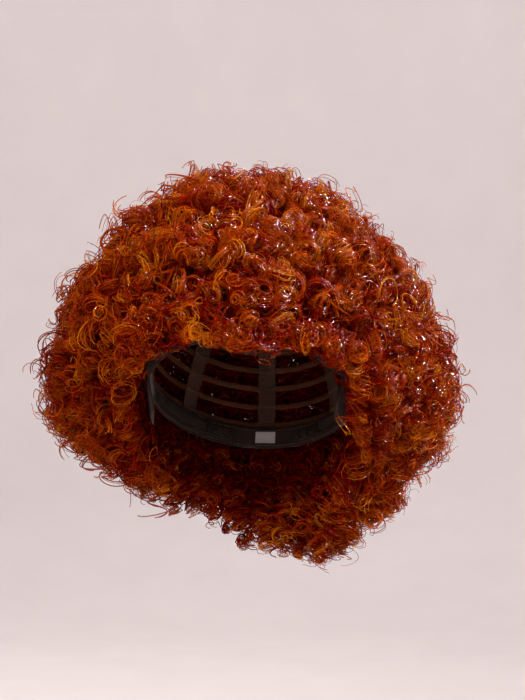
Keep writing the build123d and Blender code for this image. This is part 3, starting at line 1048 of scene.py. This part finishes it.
def add_band(name, material, slot, from_turn, to_turn, ribs):
    """A hemmed band round the cap's edge. ribs is the depth of its elastic's ribs."""
    pinch = 0.4 * MM
    hem_waves = 5
    hem_relief = 0.03 * MM
    inset = 0.06 * MM
    faces = []
    for distance, way in zip(BAND_FACES, (-1, 1)):
        grid = band_grid(distance * MM, from_turn, to_turn, -way * pinch)
        around = running_length(grid[:, BAND_TALL // 2]) / MM
        wave = np.cos(around * TURN / RIB_PITCH)[:, None]
        hem = np.cos(np.linspace(0, 1, BAND_TALL) * TURN * hem_waves)[None, :]
        depth = ribs * (wave - 1) / 2 + hem * hem_relief - inset
        faces.append(grid + out_from_head(grid) * (way * depth)[..., None])
    node = name.rsplit("_", 1)[0]
    band = add_piece(name, cloth_shell(name, *faces), material, "cap", [node])
    proud = 0.02
    clear = 0.01
    for side, distance, way in (("in", -proud, -1), ("out", BAND_FACES[1] + proud, 1)):
        for edge, height in (("low", HEM_HEIGHT * MM), ("high", BAND_WIDTH - HEM_HEIGHT * MM)):
            turn = np.linspace(from_turn(height) + clear, to_turn(height) - clear, 500)
            path = cap_point(distance * MM, height + 0 * turn, turn)
            out = out_from_head(path) * way
            label = f"{name}_stitches_{side}_{edge}"
            stitches(label, path, out, 2.1 * MM, 0.9 * MM, "cap")
    return band


def add_bands():
    def seam(height, gap):
        return seam_turn(0.6 * MM, height, (BAND_SEAM_Y + gap) * MM)

    def front_seam(height):
        return seam(height, -SEAM_GAP)

    def nape_seam(height):
        return seam(height, SEAM_GAP)

    def mirrored(turn, whole):
        return lambda height: whole - turn(height)

    ends = (mirrored(front_seam, 0), front_seam)
    front = add_band("front_band_velvet", velvet, "band_fabric", *ends, 0.0)
    ends = (nape_seam, mirrored(nape_seam, TURN))
    nape = add_band("nape_band_elastic", elastic, "elastic", *ends, 0.16 * MM)


def add_wefts():
    """Nine rings of folded tape with three rows of machine stitching."""
    stitch_rows = 3
    bead_length = 2.4
    inner, outer = WEFT_FACES
    for row, height in enumerate(WEFT_ROWS, start=1):
        name = f"weft_track_{row}"
        _, _, across, along = section(3 * MM, height * MM)
        around = int(math.pi * (across + along) / MM / WEFT_STITCH)
        turn = np.arange(around)[:, None] / around * TURN
        place = np.linspace(0, 1, 10)[None, :]
        level = (height + 0.1 + 3.8 * place) * MM + 0 * turn
        waves = place * TURN * stitch_rows
        beads = turn * round(around * WEFT_STITCH / bead_length) + waves
        relief = 0.13 * np.cos(waves) + 0.10 * np.cos(beads) - 0.3 * soft_edge(place)
        turn = turn + 0 * level
        distances = (inner - relief * MM, outer + relief * MM)
        faces = [cap_point(distance, level, turn) for distance in distances]
        mesh = cloth_shell(f"{name}_tape", *faces, closed=True)
        add_piece(mesh.name, mesh, weft_tape, "cap", [name])


def cap_place(across, back, height):
    """A point measured across, back along the cap's edge, and up from the edge."""
    on_edge = EDGE_POINT + ACROSS * across[..., None] + ALONG * back[..., None]
    return on_edge + SQUARE * height[..., None]


def middle_back(middle_y, middle_z, height):
    """How far back along the cap's edge the middle of a section lies."""
    rise = middle_z - EDGE_Z - height * SQUARE[2]
    return (middle_y - height * SQUARE[1]) * ALONG[1] + rise * ALONG[2]


def ribbon_point(distance, height, turn, aside):
    """A point on the grown head, aside from a turn measured about the cap's axis."""
    middle_y, middle_z, across, along = section(distance, height)
    centre = middle_back(middle_y, middle_z, height)
    run_x, run_along = math.sin(turn), -math.cos(turn)
    from_x, from_along = aside * math.cos(turn), aside * math.sin(turn) - centre
    a = (run_x / across) ** 2 + (run_along / along) ** 2
    b = from_x * run_x / across**2 + from_along * run_along / along**2
    c = (from_x / across) ** 2 + (from_along / along) ** 2 - 1
    reach = (-b + np.sqrt(b * b - a * c)) / a
    return cap_place(from_x + reach * run_x, from_along + centre + reach * run_along, height)


def add_ribbons():
    """Eight elastic tapes, ribbed across and corded along, tacked to the lower eight wefts."""
    cords = 5
    rib_pitch = 1.7
    inner, outer = RIBBON_FACES
    place = np.linspace(0, 1, 15)[None, :]
    height = np.linspace(*RIBBON_SPAN, 240)[:, None] * MM + 0 * place
    aside = (place - 0.5) * RIBBON_WIDTH * MM + 0 * height
    relief = 0.09 * np.cos(place * TURN * cords) + 0.08 * np.cos(height / MM * TURN / rib_pitch)
    relief = (relief - 0.12 * soft_edge(place)) * MM
    swing = np.linspace(-6.2, 6.2, TACK_POINTS) * MM
    zigzag = 2.0 + np.resize((-1.1, 1.1), TACK_POINTS)
    above = np.full(TACK_POINTS, 1.4 * MM)
    for name, degrees in RIBBON_TURNS.items():
        turn = math.radians(degrees)
        distances = (inner - relief, outer + relief)
        faces = [ribbon_point(distance, height, turn, aside) for distance in distances]
        mesh = cloth_shell(f"{name}_tape", *faces)
        tape = add_piece(mesh.name, mesh, ribbon_elastic, "cap", [name])
        line = np.array(
            [ribbon_point(above, (row + zigzag) * MM, turn, swing) for row in WEFT_ROWS[:-1]]
        )
        thick = np.full(line.shape[:2], THREAD_RADIUS)
        tone = np.full(len(line), 0.5)
        mesh = tube_mesh(f"{name}_tacks", line, -out_from_head(line), thick, tone)
        add_piece(mesh.name, mesh, thread, "cap")


def dome_frame(distance):
    """The grown head's half axes, and on it scaled to a ball, the cap's axis and two
    directions square to that."""
    grown = HEAD + distance
    axis = unit(grown * SQUARE)
    return grown, axis, ACROSS, np.cross(axis, ACROSS)


def dome_point(distance, polar, turn):
    grown, axis, first, second = dome_frame(distance)
    polar, turn = np.broadcast_arrays(polar, turn)
    ball = (
        axis * np.cos(polar)[..., None]
        + first * (np.sin(polar) * np.cos(turn))[..., None]
        + second * (np.sin(polar) * np.sin(turn))[..., None]
    )
    return CENTRE + grown * ball


def dome_polar(distance, height):
    """How far from the cap's axis, as an angle, a height above the edge lies."""
    support = np.linalg.norm((HEAD + distance) * SQUARE)
    level = (EDGE_Z - CENTRE[2]) * SQUARE[2] + height
    return math.acos(level / support)


def add_net():
    """A fine net of threads that wind both ways over the crown."""
    middle = 0.6
    apart = 0.16
    winding = 1.15
    rim = dome_polar(middle * MM, 84.9 * MM)
    starts = np.tile(NET_STARTS, NET_THREADS // len(NET_STARTS))[:, None]
    polar = (starts + (1 - starts) * np.linspace(0, 1, 40)[None, :]) * rim
    start = np.arange(NET_THREADS)[:, None] / NET_THREADS * TURN
    lines = []
    for way in (-1, 1):
        twist = way * winding * np.log(polar / rim)
        lines.append(dome_point((middle + apart * way) * MM, polar, start + twist))
    line = np.concatenate(lines)
    thick = np.full(line.shape[:2], 0.27 * MM)
    net = tube_mesh("crown_net_mesh", line, out_from_head(line), thick, np.full(len(line), 0.5))
    net = add_piece("crown_net_mesh", net, net_thread, "cap", ["crown_net"])


def add_binding():
    """The soft tape that binds the net's edge."""
    ripples = 150
    width = 0.055
    turn = np.linspace(0, TURN, 361)[:-1][:, None]
    edge = np.linspace(0, 1, 7)[None, :]
    polar = dome_polar(0.6 * MM, 84.2 * MM) - (1 - edge) * width
    relief = 0.05 * np.cos(turn * ripples) - 0.35 * soft_edge(edge)
    faces = two_faces(lambda distance: dome_point(distance, polar, turn), (0.1, 1.1), relief)
    mesh = cloth_shell("crown_net_binding", *faces, closed=True)
    add_piece(mesh.name, mesh, velvet, "cap")


def add_swirl():
    """The spiral of tape that closes the crown."""
    widest = dome_polar(3.1 * MM, 106.2 * MM)
    pitch = widest / (SWIRL_TURNS + 0.55)
    along = np.linspace(0, 1, 520)[:, None]
    across = np.linspace(-0.5, 0.5, 8)[None, :]
    middle = (widest - pitch * 0.5) * (1 - along) + pitch * 0.3 * along
    polar = middle + across * pitch * 0.92
    spin = along * SWIRL_TURNS * TURN
    relief = 0.12 * np.cos(across * TURN * 2) - 0.3 * soft_edge(across + 0.5)
    faces = two_faces(lambda distance: dome_point(distance, polar, spin), (2.65, 3.55), relief)
    mesh = cloth_shell("crown_swirl_tape", *faces)
    swirl = add_piece("crown_swirl_tape", mesh, weft_tape, "cap", ["crown_swirl"])


def tab_grid(distance, side, around=TAB_AROUND):
    """The points of one face of an ear tab, from its seam down to its round end."""
    trim = 0.1
    narrowing = 0.995
    drop = np.linspace(0.0, TAB_DROP - trim, TAB_TALL)[None, :] * MM
    past = np.clip(drop - (TAB_DROP - TAB_CORNER) * MM, 0, None)
    half = (TAB_WIDTH / 2 - TAB_CORNER) * MM
    half = half + np.sqrt(np.clip((TAB_CORNER * MM) ** 2 - past**2, 0, None))
    back = TAB_MIDDLE * MM + np.linspace(-1, 1, around)[:, None] * half * narrowing
    middle_y, middle_z, across, along = section(distance, -drop)
    centre = middle_back(middle_y, middle_z, -drop)
    x = across * np.sqrt(np.clip(1 - ((back - centre) / along) ** 2, 0, 1))
    return cap_place(side * x, back, -drop + 0 * back)


def add_ear_tab(label, side):
    """A soft tab with a thin rim, puffed along its stitches."""
    body = f"ear_tab_{label}"
    rim_share = 9
    puff_place = 0.09
    puff_width = 0.02
    u = np.linspace(0, 1, TAB_AROUND)[:, None]
    v = np.linspace(0, 1, TAB_TALL)[None, :]
    rim = np.maximum(soft_edge(u), np.clip(v * rim_share - rim_share + 1, 0, 1) ** 2)
    from_side = np.minimum(u, 1 - u)
    puff = 0.12 * np.exp(-(((from_side - puff_place) / puff_width) ** 2))
    relief = -(0.4 * rim + puff)
    faces = two_faces(lambda distance: tab_grid(distance, side), TAB_FACES, relief)
    mesh = cloth_shell(f"ear_tab_{label}_velvet", *faces)
    tab = add_piece(mesh.name, mesh, velvet, None, [body])
    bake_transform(tab)
    inset = 4
    low = 39
    far = TAB_AROUND - 1 - inset
    proud = 0.02
    for word, distance, way in (
        ("in", TAB_FACES[0] - proud, -1),
        ("out", TAB_FACES[1] + proud, 1),
    ):
        grid = tab_grid(distance * MM, side)
        down, up = grid[inset, inset : low + 1], grid[far, low : inset - 1 : -1]
        path = np.concatenate([down, grid[inset + 1 : far, low], up])
        out = out_from_head(path) * way
        name = f"ear_tab_{label}_stitches_{word}"
        stitches(name, path, out, 1.9 * MM, 0.8 * MM, body)


# ================================================================ size adjuster
def arc_frame():
    """The pivot, radius and directions of the arc that the loops and hook share."""
    middle_y, middle_z, across, along = section(0.0, ADJUSTER_HEIGHT * MM)
    angle = math.radians(ADJUSTER_TURN)
    reach = 1 / math.hypot(math.sin(angle) / across, math.cos(angle) / along)
    side, behind = reach * math.sin(angle), reach * math.cos(angle)
    outward = ACROSS * (side / across**2) + ALONG * (behind / along**2)
    radius = across**2 * along**2 * np.linalg.norm(outward) ** 3
    outward = unit(outward)
    point = np.array((0.0, middle_y, middle_z)) + ACROSS * side + ALONG * behind
    return point - outward * radius, radius, outward, np.cross(SQUARE, outward)


ARC_PIVOT, ARC_RADIUS, ARC_OUT, ARC_ROUND = arc_frame()


def arc_point(side, length, distance, height):
    """length runs round the arc from its middle loop towards the centre back, distance is
    out from the head and height is towards the crown."""
    length, distance, height = np.broadcast_arrays(length, distance, height)
    angle = length / ARC_RADIUS
    out = ARC_OUT * np.cos(angle)[..., None] + ARC_ROUND * np.sin(angle)[..., None]
    points = ARC_PIVOT + out * (ARC_RADIUS + distance)[..., None] + SQUARE * height[..., None]
    return points * np.array((side, 1.0, 1.0))


def nape_point(side, turn, distance, height):
    """A point inside the nape band, turned from the centre back."""
    turn, distance, height = np.broadcast_arrays(turn, distance, height)
    middle_y, middle_z, across, along = section(distance, ADJUSTER_HEIGHT * MM)
    reach = 1 / np.hypot(np.sin(turn) / across, np.cos(turn) / along)
    points = np.stack([0 * reach, middle_y + 0 * reach, middle_z + 0 * reach], -1)
    points = points + ACROSS * (side * reach * np.sin(turn))[..., None]
    points = points + ALONG * (reach * np.cos(turn))[..., None]
    return points + SQUARE * (height + 0 * reach)[..., None]


def repaint(node, material):
    """Gives a CAD part that stays as it is a better material."""
    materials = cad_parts[node].data.materials
    materials.clear()
    materials.append(material)


def add_loops(label, side):
    """The adjuster's tape with its five loops of flat cord, each sewn down at both ends."""
    length = np.linspace(-19.9, 19.9, 150)[:, None] * MM
    place = np.linspace(0, 1, 17)[None, :]
    height = (place - 0.5) * 9.8 * MM
    ribs = 0.05 * np.cos(length / MM * TURN / 1.2) + 0.03 * np.cos(place * 40)
    faces = [
        arc_point(side, length, (-0.94 - ribs) * MM, height),
        arc_point(side, length, -0.58 * MM, height),
    ]
    mesh = cloth_shell(f"adjuster_tape_{label}", *faces)
    tape = add_piece(mesh.name, mesh, elastic, "cap", [f"hook_loops_{label}"])
    half_width = 0.9
    half_thick = 0.26
    fine = np.linspace(0, len(LOOP_UP) - 1, 41)
    rise, spot = (
        np.interp(fine, range(len(course)), course)[:, None] for course in (LOOP_OUT, LOOP_UP)
    )
    wide = np.linspace(-half_width, half_width, 7)[None, :]
    cord = 0.09 * np.cos(wide / half_width * 3 * math.pi)
    for number, step in enumerate(LOOP_STEPS, start=1):
        across = (step * LOOP_PITCH + wide) * MM
        distances = (rise - half_thick - cord, rise + half_thick)
        faces = [arc_point(side, across, distance * MM, spot * MM) for distance in distances]
        mesh = cloth_shell(f"adjuster_loop_{label}_{number}", *faces)
        add_piece(mesh.name, mesh, elastic, "cap")


def add_strap(label, side):
    """The elastic strap, from its sewn end behind the ear to the slot of its hook."""
    turns = np.linspace(*(math.radians(turn) for turn in STRAP_TURNS), 150)[:, None]
    wide = np.linspace(-0.5, 0.5, 13)[None, :]
    height = wide * STRAP_WIDTH * MM
    run = nape_point(side, turns, STRAP_DISTANCE * MM, height)
    sewn_from = math.radians(70.5)
    sewn = np.clip((turns - sewn_from) / math.radians(1.2), 0, 1)
    run = run + out_from_head(run) * (sewn * 2.5 * MM)[..., None]
    fine = np.linspace(0, len(STRAP_END_OUT) - 1, 26)
    around, away = (
        np.interp(fine, range(len(course)), course)[:, None] * MM
        for course in (STRAP_END_ROUND, STRAP_END_OUT)
    )
    middle = np.concatenate([run, arc_point(side, around, away, height * 0.97)])
    along = unit(np.gradient(middle, axis=0))
    up = unit(np.gradient(middle, axis=1))
    outward = unit(np.cross(along, up)) * -side
    steps = running_length(middle[:, 6]) / MM
    ribs = 0.05 * np.cos(steps * TURN / 1.3)[:, None] + 0.05 * np.cos(wide * 28)
    thinner_from = 146
    half = np.where(np.arange(len(middle)) < thinner_from, 0.27, 0.2)[:, None] + ribs
    shift = outward * half[..., None] * MM
    mesh = cloth_shell(f"adjuster_strap_{label}", middle - shift, middle + shift)
    strap = add_piece(mesh.name, mesh, elastic, None, [f"strap_{label}"])
    start = nape_point(side, math.radians(70.0), STRAP_DISTANCE * MM, 0.0)
    stop = arc_point(side, -13.0 * MM, STRAP_DISTANCE * MM, 0.0)
    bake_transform(strap)


def add_label():
    """A blank satin label, sewn at its upper edge and curling a little at the lower."""
    width = 15.6
    height = 9.7
    thickness = 0.3
    wide = np.linspace(-0.5, 0.5, 41)[:, None]
    tall = np.linspace(-0.5, 0.5, 31)[None, :]
    curl = -4.0 * np.clip(-tall - 0.2, 0, 1) ** 2 - 0.12 * np.cos(wide * 9) * (0.5 - tall)
    middle = nape_point(1, 0.0, -1.2 * MM, 0.0)
    middle = middle + ACROSS * (wide * width * MM)[..., None]
    middle = middle + SQUARE * (tall * height * MM)[..., None]
    faces = [middle - ALONG * ((shift - curl) * MM)[..., None] for shift in (0.0, thickness)]
    mesh = cloth_shell("size_label_satin", *faces)
    label = add_piece("size_label_satin", mesh, satin, "cap", ["size_label"])


add_camera()
add_stage()
add_lighting()
add_hair()

# Each material's name, darkest colour, lightest colour, noise scale and roughness.
velvet, elastic, ribbon_elastic, weft_tape, net_thread, thread, satin, hook_plastic, stay_plastic = (
    cloth_material(*looks)
    for looks in (
        ("velvet", (0.035, 0.014, 0.008), (0.085, 0.036, 0.02), 1400, 0.9),
        ("elastic", (0.022, 0.013, 0.010), (0.065, 0.04, 0.03), 2200, 0.7),
        ("ribbon_elastic", (0.045, 0.02, 0.012), (0.12, 0.055, 0.034), 1800, 0.7),
        ("weft_tape", (0.06, 0.015, 0.005), (0.16, 0.05, 0.016), 1500, 0.6),
        ("net_thread", (0.03, 0.016, 0.011), (0.07, 0.04, 0.03), 1500, 0.6),
        ("thread", (0.16, 0.075, 0.04), (0.32, 0.17, 0.10), 2500, 0.5),
        ("satin", (0.62, 0.60, 0.56), (0.78, 0.76, 0.72), 900, 0.35),
        ("hook_plastic", (0.012, 0.010, 0.010), (0.03, 0.025, 0.024), 700, 0.28),
        ("stay_plastic", (0.05, 0.04, 0.034), (0.09, 0.075, 0.065), 500, 0.5),
    )
)
velvet.node_tree.nodes["Principled BSDF"].inputs["Sheen Weight"].default_value = 0.15

add_bands()
add_wefts()
add_ribbons()
add_net()
add_binding()
add_swirl()
for label, side in SIDES:
    add_ear_tab(label, side)
for label, side in SIDES:
    add_loops(label, side)
    add_strap(label, side)
    repaint(f"hook_{label}", hook_plastic)
    repaint(f"ear_stay_{label}", stay_plastic)
add_label()
